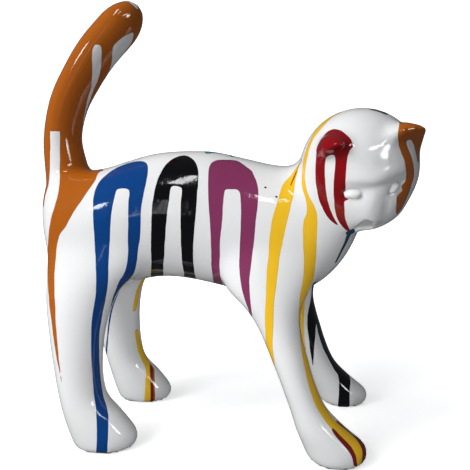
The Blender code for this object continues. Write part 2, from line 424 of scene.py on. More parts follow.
# Nose: the facet under its tip, which opens downward from an apex. Apex, how fast it falls back, how fast and
# how far its edges open, how steeply the sides rise from them, and where the lip stands out again
NOSE_APEX = (59.9, -4.6, -8.4)
NOSE_FALL = 0.44
NOSE_OPENS = (0.22, 0.95)
NOSE_WIDEST = 10
NOSE_SIDES = (0.5, 1.3)
NOSE_ENDS = 1.5
LIP = -33
NOSE_EASE = 0.5
NOSE_FROM = 40
NOSE_HALF_WIDTH = 25
NOSE_HEIGHTS = (-45, 5)

points = corners(cat.data)
places = (points - head_centre) @ head_axes
push = np.zeros(len(points))
for centre, half, height in FACE.values():
    push += height * np.exp(-(((places - centre) / half) ** 2).sum(axis=1))
for centre, half, height, slant in EYES.values():
    along = places - centre
    along[:, 2] -= slant * along[:, 1]
    away = np.linalg.norm(along / half, axis=1)
    push += height * np.maximum(0, 1 - away ** 2) ** EYE_FALL
    push -= CREASE_DEPTH * np.exp(-((away - CREASE_REACH) / CREASE_WIDTH) ** 2)
length = np.linalg.norm(places, axis=1)
push[length > FACE_LIMIT] = 0
places *= (1 + push / length)[:, None]
down = NOSE_APEX[2] - places[:, 2]
aside = places[:, 1] - NOSE_APEX[1]
facet = (NOSE_APEX[0] - NOSE_FALL * down
         + NOSE_ENDS * np.maximum(0, -down)
         + NOSE_ENDS * np.maximum(0, LIP - places[:, 2])
         + NOSE_SIDES[0] * np.maximum(0, -NOSE_OPENS[0] * down - aside)
         + NOSE_SIDES[1] * np.maximum(0, aside - np.minimum(NOSE_OPENS[1] * down, NOSE_WIDEST)))
lower = -NOSE_EASE * np.logaddexp(-places[:, 0] / NOSE_EASE, -facet / NOSE_EASE)
front = (places[:, 0] > NOSE_FROM) & (abs(places[:, 1]) < NOSE_HALF_WIDTH)
front &= (places[:, 2] > NOSE_HEIGHTS[0]) & (places[:, 2] < NOSE_HEIGHTS[1])
places[front, 0] = lower[front]
points = head_centre + places @ head_axes.T

# It is stood flat on its soles, and takes the place and the size of the solid
SOLE_FLAT = 1.2
points[points[:, 2] < SOLE_FLAT, 2] = 0
low = points.min(axis=0)
fit = (np.array(cat_high) - np.array((*cat_low.xy, 0))) / (points.max(axis=0) - low)
shift = Vector((*cat_low.xy, 0)) - Vector(low * fit)
points = points * fit + np.array(shift)
cat.data.vertices.foreach_set("co", points.ravel())
cat.data.update()
bpy.ops.object.shade_smooth()


# The camera stands where the photo was taken from, a little above the middle of the figure's right side. The
# photo is a square of 470 pixels, and its focal length is given in the same pixels.
PHOTO = 470
FOCAL = 450
EYE = Vector((0, -485, 256)) * MM + shift
EYE_TURN = math.radians(10)
EYE_DROP = math.radians(5)
EYE_ROLL = math.radians(-2)
SENSOR = 36
camera_data = bpy.data.cameras.new("photo view")
camera_data.sensor_width = SENSOR
camera_data.lens = SENSOR * FOCAL / PHOTO
camera = bpy.data.objects.new("photo view", camera_data)
bpy.context.scene.collection.objects.link(camera)
camera.matrix_world = (Matrix.Translation(EYE) @ Matrix.Rotation(EYE_TURN, 4, "Z")
                       @ Matrix.Rotation(math.pi / 2 - EYE_DROP, 4, "X") @ Matrix.Rotation(EYE_ROLL, 4, "Z"))
bpy.context.scene.camera = camera


# The poured runs. Coloured glazes are poured over the white one from the ridge of the back, the ears and
# the tail, and run down in bands a finger wide that end at the soles or thin out on the way.
# A run is a row of places with the half width there, and where the photo shows its edge, an outline.
view = np.array(camera.matrix_world.to_3x3())
skin = BVHTree.FromObject(cat, bpy.context.evaluated_depsgraph_get())
TAIL_PLACES = [station[:2] for station in TAIL] + [TAIL_TIP]

# Depths at which skin past the outline is looked for, how many times too wide a run may come out where the
# skin turns away, where rays to the left side start, how far from a run its distance is told, how close
# before a point no skin can hide it, and the least square of an edge
SKIN_DEPTHS = range(380, 620, 10)
GRAZING = 1.8
LEFT_START = 300
FAR = 5 * MM
SIGHT_GAP = 3 * MM
TINY = 1e-12


def on_skin(px, py):
    """The place on the figure that the photo shows at this pixel, or the nearest to it past the outline."""
    way = Vector(view @ np.array((px - PHOTO / 2, PHOTO / 2 - py, -FOCAL))).normalized()
    hit = skin.ray_cast(EYE, way)[0]
    if hit is None:
        nearest = [skin.find_nearest(EYE + way * (reach * MM)) for reach in SKIN_DEPTHS]
        hit = min(nearest, key=lambda found: found[3])[0]
    return hit


def run(*stations):
    """A run on the side that the photo shows: x, y and half width in pixels for each station."""
    places = []
    stations = stations_between(stations)
    for i, (px, py, half) in enumerate(stations):
        ahead, behind = stations[min(i + 1, len(stations) - 1)], stations[max(i - 1, 0)]
        way = Vector((ahead[0] - behind[0], ahead[1] - behind[1])).normalized()
        middle = on_skin(px, py)
        flat_half = half * (middle - EYE).length / FOCAL
        edges = [on_skin(px + turn * way.y * half, py - turn * way.x * half) for turn in (-1, 1)]
        reach = (edges[0] - edges[1]).length / 2
        if reach < GRAZING * flat_half:
            places.append((*((edges[0] + edges[1]) / 2), reach))
        else:
            places.append((*middle, flat_half))
    return "run", places


def far_run(*stations):
    """A run on the left side, which the photo hides: place along, height and half width in millimetres."""
    places = []
    for x, z, half in stations_between(stations):
        start = Vector((x, LEFT_START, z)) * MM + shift
        hit = skin.ray_cast(start, Vector((0, -1, 0)))[0] or skin.find_nearest(start)[0]
        places.append((*hit, half * MM))
    return "run", places


def head_run(*stations):
    """A run given in the head's own frame: place and half width in millimetres."""
    places = []
    for station in stations:
        places.append((*(head_frame @ Vector(station[:3]) * MM + shift), station[3] * MM))
    return "run", places


def round_tail(stations, half):
    """A run that takes in the tail all round: place along and height, and one half width in millimetres."""
    return "run", [(*(Vector((x, 0, z)) * MM + shift), half * MM) for x, z in stations]


def outline(*places):
    """The edge of a run as the photo shows it, a pixel place at each turn."""
    return "outline", stations_between(places, closed=True)


def unseen(run):
    """A run, only where the photo doesn't show the skin."""
    return "unseen run", run[1]


def close_to(spots, rows, margin):
    """The numbers of the spots that lie in the box round the rows, grown by a margin."""
    past_low = spots > rows.min(axis=0) - margin
    before_high = spots < rows.max(axis=0) + margin
    return np.flatnonzero((past_low & before_high).all(axis=1))


def distance_to(kind, places):
    """How far each point of the skin is outside a run, below zero inside it, and FAR where it isn't close."""
    rows = np.array(places)
    distance = np.full(len(points), FAR)
    if kind == "outline":
        near = close_to(shown, rows, FAR / MM)
        near = near[in_sight[near]]
        spots = shown[near]
        nearest = np.full(len(near), PHOTO, dtype=float)
        inside = np.zeros(len(near), dtype=bool)
        for a, b in zip(rows, np.roll(rows, -1, axis=0)):
            way = b - a
            share = np.clip((spots - a) @ way / max(way @ way, TINY), 0, 1)
            nearest = np.minimum(nearest, np.linalg.norm(spots - a - share[:, None] * way, axis=1))
            crosses = (a[1] > spots[:, 1]) != (b[1] > spots[:, 1])
            with np.errstate(divide="ignore", invalid="ignore"):
                crossing = a[0] + (spots[:, 1] - a[1]) * way[0] / way[1]
            inside ^= crosses & (spots[:, 0] < crossing)
        distance[near] = np.where(inside, -nearest, nearest) * depth[near] / FOCAL
        return distance
    near = close_to(points, rows[:, :3], rows[:, 3].max() + FAR)
    if kind == "unseen run":
        near = near[~in_sight[near]]
    spots = points[near]
    nearest = np.full(len(near), FAR)
    for a, b in zip(rows, rows[1:]):
        way = b[:3] - a[:3]
        share = np.clip((spots - a[:3]) @ way / max(way @ way, TINY), 0, 1)
        gap = np.linalg.norm(spots - a[:3] - share[:, None] * way, axis=1) - (a[3] + share * (b[3] - a[3]))
        nearest = np.minimum(nearest, gap)
    distance[near] = nearest
    return distance


RUNS = {
    "mauve": [
        # An arch on the left side, over the hip, and the sliver of it that shows over the back
        unseen(far_run((-228, 1, 4), (-238, 30, 4), (-249, 65, 4), (-252, 130, 5), (-242, 200, 7),
                       (-235, 240, 8), (-229, 270, 8), (-211, 299, 12), (-193, 270, 8), (-188, 240, 8),
                       (-190, 205, 6), (-196, 175, 3))),
        outline((122, 164), (120, 158), (136, 153), (144, 154), (142, 157.5), (132, 160)),
    ],
    "teal": [
        # An arch on the left side, over the middle of the trunk, and the sliver of it over the back
        unseen(far_run((-118, 165, 5), (-120, 210, 6), (-121, 250, 8), (-119, 278, 8), (-101, 305, 12),
                       (-83, 278, 8), (-80, 250, 7), (-79, 210, 6), (-79, 160, 4))),
        outline((206, 153.5), (207, 148), (233, 150), (233, 157), (226, 154.6), (216, 153.2)),
    ],
    "navy": [
        # A drip on the throat, and a patch on top of the head
        run((349.5, 233, 3.2), (346, 242, 3), (342, 250, 2.5), (336, 262, 1.5)),
        outline((361, 106), (370, 105), (387, 111), (387, 115), (378, 111.6), (370, 109.2)),
        unseen(head_run((-12, 20, 52, 7), (0, 14, 56, 8), (8, 8, 57, 5))),
    ],
    "orange": [
        # The left ear, the run from it over the cheek, and the ear's outer edge
        unseen(head_run((4, 38, 42, 23), (12, 57, 50, 14))),
        outline((399, 143), (398, 138), (397.8, 134), (398.8, 127), (401, 119), (412, 117), (426, 119),
                (431, 126), (429, 136), (424, 143), (416, 143), (409, 140), (404, 142)),
        outline((398.5, 143), (400.8, 151.7), (404.2, 160), (405.4, 168),
                (406.2, 175), (405, 181.7), (401.5, 186),
                (402.2, 190.5), (399.5, 193.5), (396.8, 196.7), (396.4, 203.3), (396.4, 213.5), (398, 213.5),
                (401.7, 208.3), (406.7, 198.3), (410.8, 188.3), (413.6, 178.3), (414.6, 170), (413.6, 161.7),
                (411, 152), (408, 143), (403, 139)),
        outline((410, 138), (413.5, 143.5), (415.3, 150), (416.8, 158), (417.8, 163), (421, 155), (424, 143),
                (428, 135), (420, 130)),
        # The tail all round, its root, and the rump, from where a run thins out down the near hind leg
        round_tail(TAIL_PLACES[3:], 32),
        unseen(round_tail(TAIL_PLACES[1:4], 30)),
        outline((38, 112), (70, 105), (80, 130), (92, 150), (100, 160), (103, 170), (98.7, 172.5),
                (92.7, 184.4), (80.8, 201.4), (74, 211.6), (65.5, 227), (59.6, 235.4), (57, 245.6),
                (55.6, 259), (54.5, 274.6), (54.6, 291.6), (56, 325), (58.5, 355), (61, 375),
                (62.5, 389), (60, 375), (56, 355), (52, 325), (49, 300), (47.2, 266), (46, 240),
                (41, 206), (38, 150)),
        # The run down the left hind leg, and the edge that shows by the yellow on its inner side
        unseen(far_run((-283, 262, 9), (-284, 225, 7), (-279, 180, 5.5), (-272, 130, 4.5), (-265, 80, 3.5),
                       (-260, 46, 2.5))),
        outline((148.5, 362), (152, 366), (154.2, 370), (154.7, 377), (154.7, 404), (152, 404), (152, 376),
                (150.5, 369)),
    ],
    "blue": [
        # The arch over the near hip, whose rear arm runs down to the sole
        outline((97, 462), (97, 430), (96, 412), (94, 394), (92, 370), (91, 340), (92.3, 316), (96, 292),
                (95.7, 265), (94.3, 235), (93, 210), (93.4, 198), (97, 185.5), (105, 176), (114.5, 169),
                (125, 164), (135.7, 161.2), (143, 161.3), (147.2, 164), (148, 170), (147, 178), (144, 193),
                (141, 210), (140.3, 235), (138, 250), (136.6, 262), (134.4, 272), (130.4, 278), (125, 284),
                (118, 294), (110, 322), (105.5, 372), (106.2, 345), (111, 305), (118, 284), (123, 275.5),
                (126.5, 266), (128, 250), (128, 220), (128.4, 203),
                (129.3, 192.5), (127.5, 189.3), (123, 188.6),
                (118, 189.3), (116, 192), (113.5, 202), (111.4, 214), (110.2, 235), (108.7, 262), (107, 292),
                (102, 316), (99, 340), (100, 370), (103, 394), (108, 412), (108, 430), (106, 462)),
        run((101.5, 455, 4), (102.5, 440, 4.5)),
    ],
    "black": [
        # The arch over the middle of the trunk, and the ends of its arms under the belly
        outline((152, 285), (151.2, 262), (150.9, 235), (151.5, 214), (153.6, 195), (156.8, 182), (161, 172),
                (167.3, 163.2), (175.8, 157.2), (184.2, 155.2), (190.6, 157.5), (195.8, 163), (198.6, 171),
                (198.4, 181), (197.5, 191), (196.5, 203), (194.8, 224),
                (193.4, 246), (193.6, 262), (195.2, 275),
                (199, 288), (186, 288), (184.2, 275), (182.1, 262), (181, 246), (180.5, 224), (180.9, 203),
                (181.8, 190), (180, 187), (175.8, 186), (172, 186.7),
                (170.3, 191), (168.6, 203), (166.6, 220),
                (165.2, 235), (164.2, 254), (163.1, 272), (163, 285)),
        run((158, 268, 4.2), (158, 273, 4.2)),
        run((189, 268, 4), (190, 274, 4)),
        # Two runs down the far front leg, and two specks on the near shoulder
        outline((312.5, 284), (310.5, 300), (307.8, 315), (307.4, 325), (308.4, 335), (310, 350),
                (312.4, 365), (313.4, 365), (314.6, 345), (316, 325), (317.5, 315), (318, 300), (318, 284)),
        outline((317, 308), (320, 318), (325, 333), (333, 350), (340, 363), (347, 372), (350.5, 379),
                (349.5, 392), (348.5, 410), (338.4, 410), (338.8, 392), (338.6, 377), (334.5, 369.5),
                (328.5, 359), (322.3, 346), (318, 332), (315.8, 318)),
        run((265.2, 187.3, 0.8), (265.7, 187.5, 0.8)),
        run((276.4, 196.7, 1.0), (276.8, 197.0, 0.8)),
    ],
    "plum": [
        # The arch behind the shoulder, and the end of its rear arm under the belly
        outline((216, 291), (211.7, 269), (211, 246), (210, 224), (208.6, 203), (207.9, 182), (208.3, 171),
                (210.8, 164), (216, 160.6), (224, 159.6), (235, 160.3),
                (241, 162.8), (247, 167), (252, 170.8), (254.5, 176), (257.2, 183), (258.3, 191),
                (257.7, 205), (255.6, 224), (253.2, 246), (251, 266),
                (249.6, 281), (250.2, 299), (252.5, 321), (248, 308), (244, 297), (240.5, 283), (239.2, 267),
                (239.7, 246), (240.7, 224), (240.8, 203), (239.5, 193), (236.5, 189.7), (231.7, 189.3),
                (226, 189.7), (224.3, 193), (223.2, 202), (222.2, 220),
                (220.2, 241), (219.6, 262), (220.6, 276), (224, 291)),
        run((216.5, 275, 3.8), (219.5, 283, 3.6)),
    ],
    "crimson": [
        # The right ear, and the two runs from it over the cheek
        unseen(head_run((17, -31, 48, 20), (38, -22, 54, 14))),
        outline((316.5, 153.5), (315.4, 165), (315.5, 180), (317.4, 192),
                (320.6, 204), (326.2, 215), (332, 221.5),
                (338, 225), (333, 216), (328.7, 204), (325.8, 190), (324.9, 175), (325.3, 162), (327, 157),
                (332, 154.8), (335, 157), (335, 169), (334.2, 177), (333.7, 188), (334.1, 202), (335.5, 213),
                (339, 222), (346, 230), (350, 231), (347.5, 225), (345.2, 217), (344.7, 207), (345, 201.5),
                (349, 199.3), (345.2, 197), (344, 194), (343.8, 192),
                (345.6, 189.5), (345.7, 180), (346.5, 169),
                (347.5, 158), (350, 150.5), (352.8, 146.5), (351.7, 141), (348.5, 136.6), (344.2, 132.7),
                (339.8, 130), (335.2, 129.2), (331, 129.8), (326.6, 132.3), (322, 137.5), (318.5, 143.5),
                (316.5, 149)),
    ],
    "oxblood": [
        # A thread in the yellow at the neck, and beside the yellow on the near front paw and the far hind leg
        run((301.8, 159.4, 0.8), (297.5, 169, 0.8), (293.8, 178, 0.7), (290.5, 185.5, 0.6)),
        outline((335.5, 420.5), (341, 423.5), (347, 429), (353, 434.5), (359, 438), (363.5, 443), (366, 450),
                (366, 458), (362.5, 466), (354.5, 466), (352, 456.5), (346, 448), (339, 440), (334.3, 434.5),
                (331.8, 429), (333.5, 425)),
        outline((141, 344), (145, 353), (148.5, 361), (152, 367), (153, 375), (153, 404), (148, 404),
                (148, 370), (144, 360), (141, 351)),
    ],
    "yellow": [
        # The run from the neck down the back of the near front leg
        outline((301.8, 158), (300, 162), (295.5, 169), (289.8, 176.5),
                (284, 183), (280.6, 191), (277.4, 202),
                (273.4, 215), (271, 226), (269.5, 240), (268.5, 254), (266.8, 270), (265.8, 294), (265, 315),
                (266, 347), (270, 367), (277, 388), (275, 367), (272.7, 347), (273.2, 325), (274.2, 302),
                (276, 288), (278, 270), (280.2, 254), (283.5, 238), (287, 223), (290.4, 208), (292.6, 199),
                (294, 190), (296, 178), (298.5, 168)),
        # The run from the top of the head down the front of the near front leg to its toes
        outline((342, 111.5), (333, 117), (323.5, 126), (317, 134),
                (313.6, 139), (309.4, 149), (306.7, 160.8),
                (305.4, 170.4), (304.9, 180), (306.5, 189.6), (310.2, 199.2), (314.2, 205.6), (316.6, 212),
                (317.4, 220), (317.1, 232.8), (316.6, 248.8), (315, 270),
                (313, 280), (308, 290), (305.6, 300),
                (304.2, 310), (303.8, 330), (306.2, 350), (310.2, 370), (317, 390), (327, 410), (336.5, 422),
                (343, 427.5), (350, 433.5), (356.5, 439.5), (361, 447),
                (362.5, 454), (360.5, 465), (357.5, 465),
                (356, 456), (352, 447.5), (346, 441), (339.5, 434.5), (333.5, 428.5), (330, 427), (318, 410),
                (310, 390), (305, 370), (301.4, 350), (299.4, 330), (298.9, 310), (300, 296), (302.2, 284),
                (303.5, 276), (303.8, 260), (303.3, 244), (303, 229.6), (303.8, 220), (306.5, 213.6),
                (306.7, 205.6), (305.4, 197.6), (303, 189.6), (301.9, 181.6), (302.3, 170.4), (304, 159),
                (306.5, 149), (310.4, 139.5), (314.2, 132.5), (320.5, 124.5), (330.5, 115), (338, 110)),
        # The run down the inner side of the far hind leg, in two lengths
        outline((148, 275.5), (143.5, 278), (139.5, 284), (136.6, 290.5),
                (135, 298), (133.4, 306), (133.2, 311),
                (135.2, 311), (137.4, 305), (138.6, 298), (139.6, 291), (142, 285), (146, 280)),
        outline((138, 330), (140.5, 341), (144.5, 352), (148.5, 361), (150, 368), (150, 404), (145, 404),
                (145.2, 387), (145.8, 374), (145, 367), (142, 360.6),
                (138, 351), (136.2, 341.4), (135.4, 331)),
    ],
}

# Left open in a run: two slots in the tail, one at its root, a crescent at its tip and the gap under the
# left ear, all white, and the slit in the yellow that the oxblood thread fills
LEFT_WHITE = {
    "orange": [
        outline((93.7, 47), (95, 45), (98.5, 45), (101, 47.5), (101.6, 57), (100.8, 69), (98, 80), (94.3, 88),
                (90.8, 97), (87.5, 108), (84.5, 118), (82.6, 133), (81, 150), (83, 133), (83.6, 118),
                (86, 106), (89, 95), (91.6, 86), (92.2, 75), (92, 60), (92.4, 51)),
        outline((133.3, 33), (129, 34), (123, 37), (117.5, 41.5), (113.3, 46.5), (112.4, 54), (111.7, 62),
                (109.3, 70), (105.5, 79), (103.6, 84), (109, 76), (117, 64.5), (126, 51), (132, 41)),
        outline((50.4, 133), (51.5, 131.5), (58.5, 131.5), (60, 133), (60, 150), (59.8, 175), (59, 188),
                (57.5, 197), (54.5, 207), (51.9, 215), (49.6, 226),
                (48.3, 238), (47.2, 262), (47, 300), (40, 300),
                (38, 240), (40, 210), (43.5, 207), (45.2, 196), (47.5, 188), (49.4, 178), (50, 160)),
        outline((129, 1.5), (133.7, 1.5), (137, 5), (138.5, 10), (136, 8), (132, 4.5)),
        outline((410, 139.5), (407.5, 140.5), (406, 143.5), (408.2, 149.5), (411.2, 156.5), (413.6, 165),
                (414, 176), (411.5, 186), (415, 176), (416.8, 163), (415.5, 154), (414, 146), (412.3, 141)),
    ],
    "yellow": [
        run((301.8, 159.4, 0.7), (297.5, 169, 0.6), (293.8, 178, 0.5), (290.5, 185.5, 0.4)),
    ],
}


def read_runs():
    """The distance to each glaze, in millimetres, at every point of the skin."""
    fields = {}
    for glaze, shapes in RUNS.items():
        field = np.minimum.reduce([distance_to(*shape) for shape in shapes])
        for slot in LEFT_WHITE.get(glaze, []):
            field = np.maximum(field, -distance_to(*slot))
        fields[glaze] = field / MM
    return fields


def look_at_points():
    """Where the photo shows each point of the skin, how deep it lies, and whether it is in sight."""
    local = (points - np.array(EYE)) @ view
    depth = -local[:, 2]
    across = PHOTO / 2 + FOCAL * local[:, 0] / depth
    down = PHOTO / 2 - FOCAL * local[:, 1] / depth
    shown = np.stack([across, down], axis=1)
    in_sight = np.ones(len(points), dtype=bool)
    for i, point in enumerate(points):
        way = Vector(point) - EYE
        reach = way.length
        hit = skin.ray_cast(EYE, way / reach, reach - SIGHT_GAP)[0]
        in_sight[i] = hit is None
    return shown, depth, in_sight


def where_runs_end(middles):
    """Which faces come within the reach of a run's edge, or below zero reach that far past it both ways."""
    mesh = cat.data
    at_corner = np.empty(len(mesh.loops), dtype=np.int32)
    mesh.loops.foreach_get("vertex_index", at_corner)
    first = np.empty(len(mesh.polygons), dtype=np.int32)
    mesh.polygons.foreach_get("loop_start", first)
    ends = np.zeros(len(middles), dtype=bool)
    for field in fields.values():
        lowest = np.minimum.reduceat(field[at_corner], first)
        highest = np.maximum.reduceat(field[at_corner], first)
        ends |= (lowest < edge_reach) & (highest > -edge_reach)
    return ends


# Where a run ends, the skin is made finer twice, so that its edge and the narrowest runs come out clean:
# first close to the edge, then only in the faces that it cuts well through
EDGE_REACHES = (0.2, -0.3)
for edge_reach in EDGE_REACHES:
    shown, depth, in_sight = look_at_points()
    fields = read_runs()
    finer_skin(where_runs_end)
    points = corners(cat.data) * MM
shown, depth, in_sight = look_at_points()
fields = read_runs()
bpy.ops.object.shade_smooth()
for glaze, field in fields.items():
    attribute = cat.data.attributes.new(glaze, "FLOAT", "POINT")
    attribute.data.foreach_set("value", field.astype(np.float32))


# The glaze. A fired, clear-covered white with the coloured glazes flowed into it: mirror glossy, with a
# faint ripple of the hand-sponged clay under it, a darker rim where a run ends and a few pinholes.
WHITE = (0.80, 0.80, 0.80)
GLAZES = {
    "mauve": (0.30, 0.22, 0.30),
    "teal": (0.05, 0.28, 0.30),
    "navy": (0.01, 0.05, 0.10),
    "orange": (0.42, 0.105, 0.006),
    "blue": (0.002, 0.050, 0.22),
    "black": (0.002, 0.002, 0.003),
    "plum": (0.23, 0.035, 0.11),
    "crimson": (0.24, 0.003, 0.006),
    "oxblood": (0.18, 0.012, 0.01),
    "yellow": (0.90, 0.53, 0.020),
}


def wire(tree, start, end):
    """Link the output of one node to the input of another."""
    tree.links.new(start, end)


# Where a run begins and is full, and where its darker rim does, in millimetres out from the run's edge
RUN_EDGE = (0.12, -0.12)
RIM_EDGE = (-1.4, -0.1)
edge = bpy.data.node_groups.new("poured edge", "ShaderNodeTree")
for name, way in (("Distance", "INPUT"), ("Wobble", "INPUT"), ("Mask", "OUTPUT"), ("Rim", "OUTPUT")):
    edge.interface.new_socket(name, in_out=way, socket_type="NodeSocketFloat")
group_in = edge.nodes.new("NodeGroupInput")
group_out = edge.nodes.new("NodeGroupOutput")
sum_node = edge.nodes.new("ShaderNodeMath")
sum_node.operation = "ADD"
wire(edge, group_in.outputs["Distance"], sum_node.inputs[0])
wire(edge, group_in.outputs["Wobble"], sum_node.inputs[1])
for socket, (begins, full) in (("Mask", RUN_EDGE), ("Rim", RIM_EDGE)):
    ramp = edge.nodes.new("ShaderNodeMapRange")
    ramp.interpolation_type = "SMOOTHSTEP"
    ramp.inputs["From Min"].default_value = min(begins, full)
    ramp.inputs["From Max"].default_value = max(begins, full)
    ramp.inputs["To Min"].default_value = 1 if begins > full else 0
    ramp.inputs["To Max"].default_value = 0 if begins > full else 1
    wire(edge, sum_node.outputs[0], ramp.inputs["Value"])
    wire(edge, ramp.outputs["Result"], group_out.inputs[socket])

glaze_material = bpy.data.materials.new("poured glaze")
glaze_material.use_nodes = True
tree = glaze_material.node_tree
shader = tree.nodes["Principled BSDF"]
place = tree.nodes.new("ShaderNodeTexCoord").outputs["Object"]


def noise(scale, detail):
    """Noise with about as many lumps to the metre as its scale."""
    node = tree.nodes.new("ShaderNodeTexNoise")
    node.inputs["Scale"].default_value = scale
    node.inputs["Detail"].default_value = detail
    wire(tree, place, node.inputs["Vector"])
    return node.outputs["Fac"]


def spread(value, from_low, from_high, to_low, to_high):
    """A value stretched from one range over another."""
    node = tree.nodes.new("ShaderNodeMapRange")
    limits = {"From Min": from_low, "From Max": from_high, "To Min": to_low, "To Max": to_high}
    for name, number in limits.items():
        node.inputs[name].default_value = number
    wire(tree, value, node.inputs["Value"])
    return node.outputs["Result"]


def reckoned(operation, a, b):
    """A sum, a product or the like of an output and a number or output."""
    node = tree.nodes.new("ShaderNodeMath")
    node.operation = operation
    wire(tree, a, node.inputs[0])
    if isinstance(b, float):
        node.inputs[1].default_value = b
    else:
        wire(tree, b, node.inputs[1])
    return node.outputs[0]


def bumped(height, strength, distance, under=None):
    """The surface as a height raises it, over another one if that is given."""
    node = tree.nodes.new("ShaderNodeBump")
    node.inputs["Strength"].default_value = strength
    node.inputs["Distance"].default_value = distance
    wire(tree, height, node.inputs["Height"])
    if under is not None:
        wire(tree, under, node.inputs["Normal"])
    return node.outputs["Normal"]


def shade(hue, share):
    """A share of a colour's light."""
    return tuple(share * value for value in hue)


def mixed(factor, a, b, blend="MIX"):
    """Two colours mixed. The factor and the colours are values or outputs of other nodes."""
    node = tree.nodes.new("ShaderNodeMix")
    node.data_type = "RGBA"
    node.blend_type = blend
    for socket, value in (("Factor", factor), ("A", a), ("B", b)):
        target = [s for s in node.inputs if s.name == socket and s.enabled][0]
        if isinstance(value, tuple):
            target.default_value = (*value, 1)
        elif isinstance(value, (int, float)):
            target.default_value = value
        else:
            wire(tree, value, target)
    return [s for s in node.outputs if s.enabled][0]


# Each noise has its lumps to the metre and its detail. The edges of the runs waver by part of a millimetre.
# White and colours are a little darker in clouds, and the colours at their rims
EDGE_NOISE = (55, 2)
CLOUD_NOISE = (9, 3)
FOOT_NOISE = (70, 2)
GLOSS_NOISE = (30, 3)
RIPPLE_NOISE = (22, 1)
GRAIN_NOISE = (150, 2)
NOISE_RANGE = (0.3, 0.7)
EDGE_WOBBLE = 0.3
WHITE_CLOUDS = 0.96
GLAZE_CLOUDS = 0.88
RIM_SHADE = 0.82
wobble = spread(noise(*EDGE_NOISE), *NOISE_RANGE, -EDGE_WOBBLE, EDGE_WOBBLE)
clouds = spread(noise(*CLOUD_NOISE), *NOISE_RANGE, 0, 1)
colour = mixed(clouds, WHITE, shade(WHITE, WHITE_CLOUDS))
height = None
for name, hue in GLAZES.items():
    reading = tree.nodes.new("ShaderNodeAttribute")
    reading.attribute_name = name
    edge_node = tree.nodes.new("ShaderNodeGroup")
    edge_node.node_tree = edge
    wire(tree, reading.outputs["Fac"], edge_node.inputs["Distance"])
    wire(tree, wobble, edge_node.inputs["Wobble"])
    cloudy = mixed(clouds, hue, shade(hue, GLAZE_CLOUDS))
    tint = mixed(edge_node.outputs["Rim"], cloudy, shade(hue, RIM_SHADE))
    colour = mixed(edge_node.outputs["Mask"], colour, tint)
    if height is None:
        height = edge_node.outputs["Mask"]
    else:
        height = reckoned("MAXIMUM", height, edge_node.outputs["Mask"])

# Pinholes, a few and far between, and a near-black band at the foot of the paws, up to a wavering height
# above the soles. A pinhole's edge is a share of the spacing
PINHOLE_SPACING = 0.014
PINHOLE_SHARE = 0.25
PINHOLE_EDGE = (0.016, 0.030)
PINHOLE_TINT = (0.35, 0.32, 0.30)
FOOT_HEIGHT = 1.7 * MM
FOOT_WOBBLE = 1.1 * MM
FOOT_SOFT = 0.1 * MM
# The near-black colour of the band at the foot of the paws
DARK_FOOT_COLOUR = (0.012, 0.013, 0.014)
pits = tree.nodes.new("ShaderNodeTexVoronoi")
pits.inputs["Scale"].default_value = 1 / PINHOLE_SPACING
wire(tree, place, pits.inputs["Vector"])
pit_split = tree.nodes.new("ShaderNodeSeparateColor")
wire(tree, pits.outputs["Color"], pit_split.inputs["Color"])
chosen = reckoned("LESS_THAN", pit_split.outputs["Red"], PINHOLE_SHARE)
pit = reckoned("MULTIPLY", spread(pits.outputs["Distance"], *PINHOLE_EDGE, 1, 0), chosen)
colour = mixed(pit, colour, mixed(1.0, colour, PINHOLE_TINT, "MULTIPLY"))
part_of_place = tree.nodes.new("ShaderNodeSeparateXYZ")
wire(tree, place, part_of_place.inputs["Vector"])
foot_wobble = spread(noise(*FOOT_NOISE), *NOISE_RANGE, -FOOT_WOBBLE, FOOT_WOBBLE)
above_foot = reckoned("ADD", part_of_place.outputs["Z"], foot_wobble)
foot = spread(above_foot, FOOT_HEIGHT - FOOT_SOFT, FOOT_HEIGHT + FOOT_SOFT, 1, 0)
colour = mixed(foot, colour, DARK_FOOT_COLOUR)
wire(tree, colour, shader.inputs["Base Color"])

# The clear coat and the gloss, which the foot lacks, and what shows through them: the step where a run ends,
# the ripple of the clay and a fine grain, each with its strength and its height in metres
COAT = 0.4
COAT_ROUGHNESS = 0.03
GLOSS = (0.05, 0.10)
FOOT_ROUGHNESS = 0.8
STEP = (0.1, 0.0002)
RIPPLE = (0.25, 0.0006)
GRAIN = (0.5, 0.0003)
wire(tree, spread(foot, 0, 1, COAT, 0), shader.inputs["Coat Weight"])
shader.inputs["Coat Roughness"].default_value = COAT_ROUGHNESS
gloss = spread(noise(*GLOSS_NOISE), *NOISE_RANGE, *GLOSS)
roughness = reckoned("MAXIMUM", gloss, spread(foot, 0, 1, 0, FOOT_ROUGHNESS))
wire(tree, roughness, shader.inputs["Roughness"])
step = bumped(height, *STEP)
ripple = bumped(noise(*RIPPLE_NOISE), *RIPPLE, step)
grain = bumped(noise(*GRAIN_NOISE), *GRAIN, ripple)
wire(tree, grain, shader.inputs["Normal"])
cat.data.materials.clear()
cat.data.materials.append(glaze_material)

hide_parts("cat")
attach(cat, "root")


# The studio: a round sweep of pale paper, turned up at its rim all round, under soft lights. The softboxes,
# the boards and the face spot only shade the figure, and the room's lamps and window show in its glaze.
PAPER_RADIUS = 3.2
PAPER_RIM = 2.6
PAPER_SIDES = 96
SWEEP = 2.2
SWEEP_STEPS = 20
PAPER_ROUGHNESS = 0.9
PAPER_NOISE = (3, 2)
PAPER_WHITES = ((0.86, 0.86, 0.86), (0.88, 0.88, 0.88))
